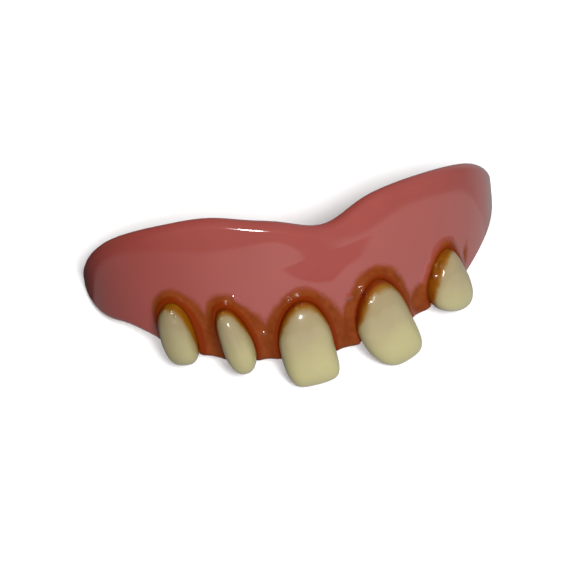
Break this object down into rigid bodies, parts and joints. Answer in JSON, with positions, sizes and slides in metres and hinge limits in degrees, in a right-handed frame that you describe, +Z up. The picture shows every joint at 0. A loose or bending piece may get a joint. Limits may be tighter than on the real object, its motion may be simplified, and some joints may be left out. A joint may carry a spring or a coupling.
{
  "type": "novelty false teeth",
  "caption": "Novelty false-teeth plate: an arched glossy pink gum with crooked stained ivory teeth, worn over the upper teeth, lying tipped back on its front teeth and rear ends.",
  "frame": {"origin": "on the surface that the plate lies on, under the middle of its box", "axes": "+X to the right as the teeth are looked at from the front, +Y to the back, +Z up"},
  "size_m": [0.0634, 0.0278, 0.0215],
  "materials": {
    "gum": "glossy pink acrylic with a brown glaze round the teeth",
    "tooth": "glossy ivory acrylic, amber at the necks"
  },
  "bodies": {
    "root": {"gum_plate": "gum", "tooth_canine": "tooth", "tooth_peg": "tooth", "tooth_front_left": "tooth", "tooth_front_right": "tooth", "tooth_snag": "tooth"}
  },
  "joints": []
}
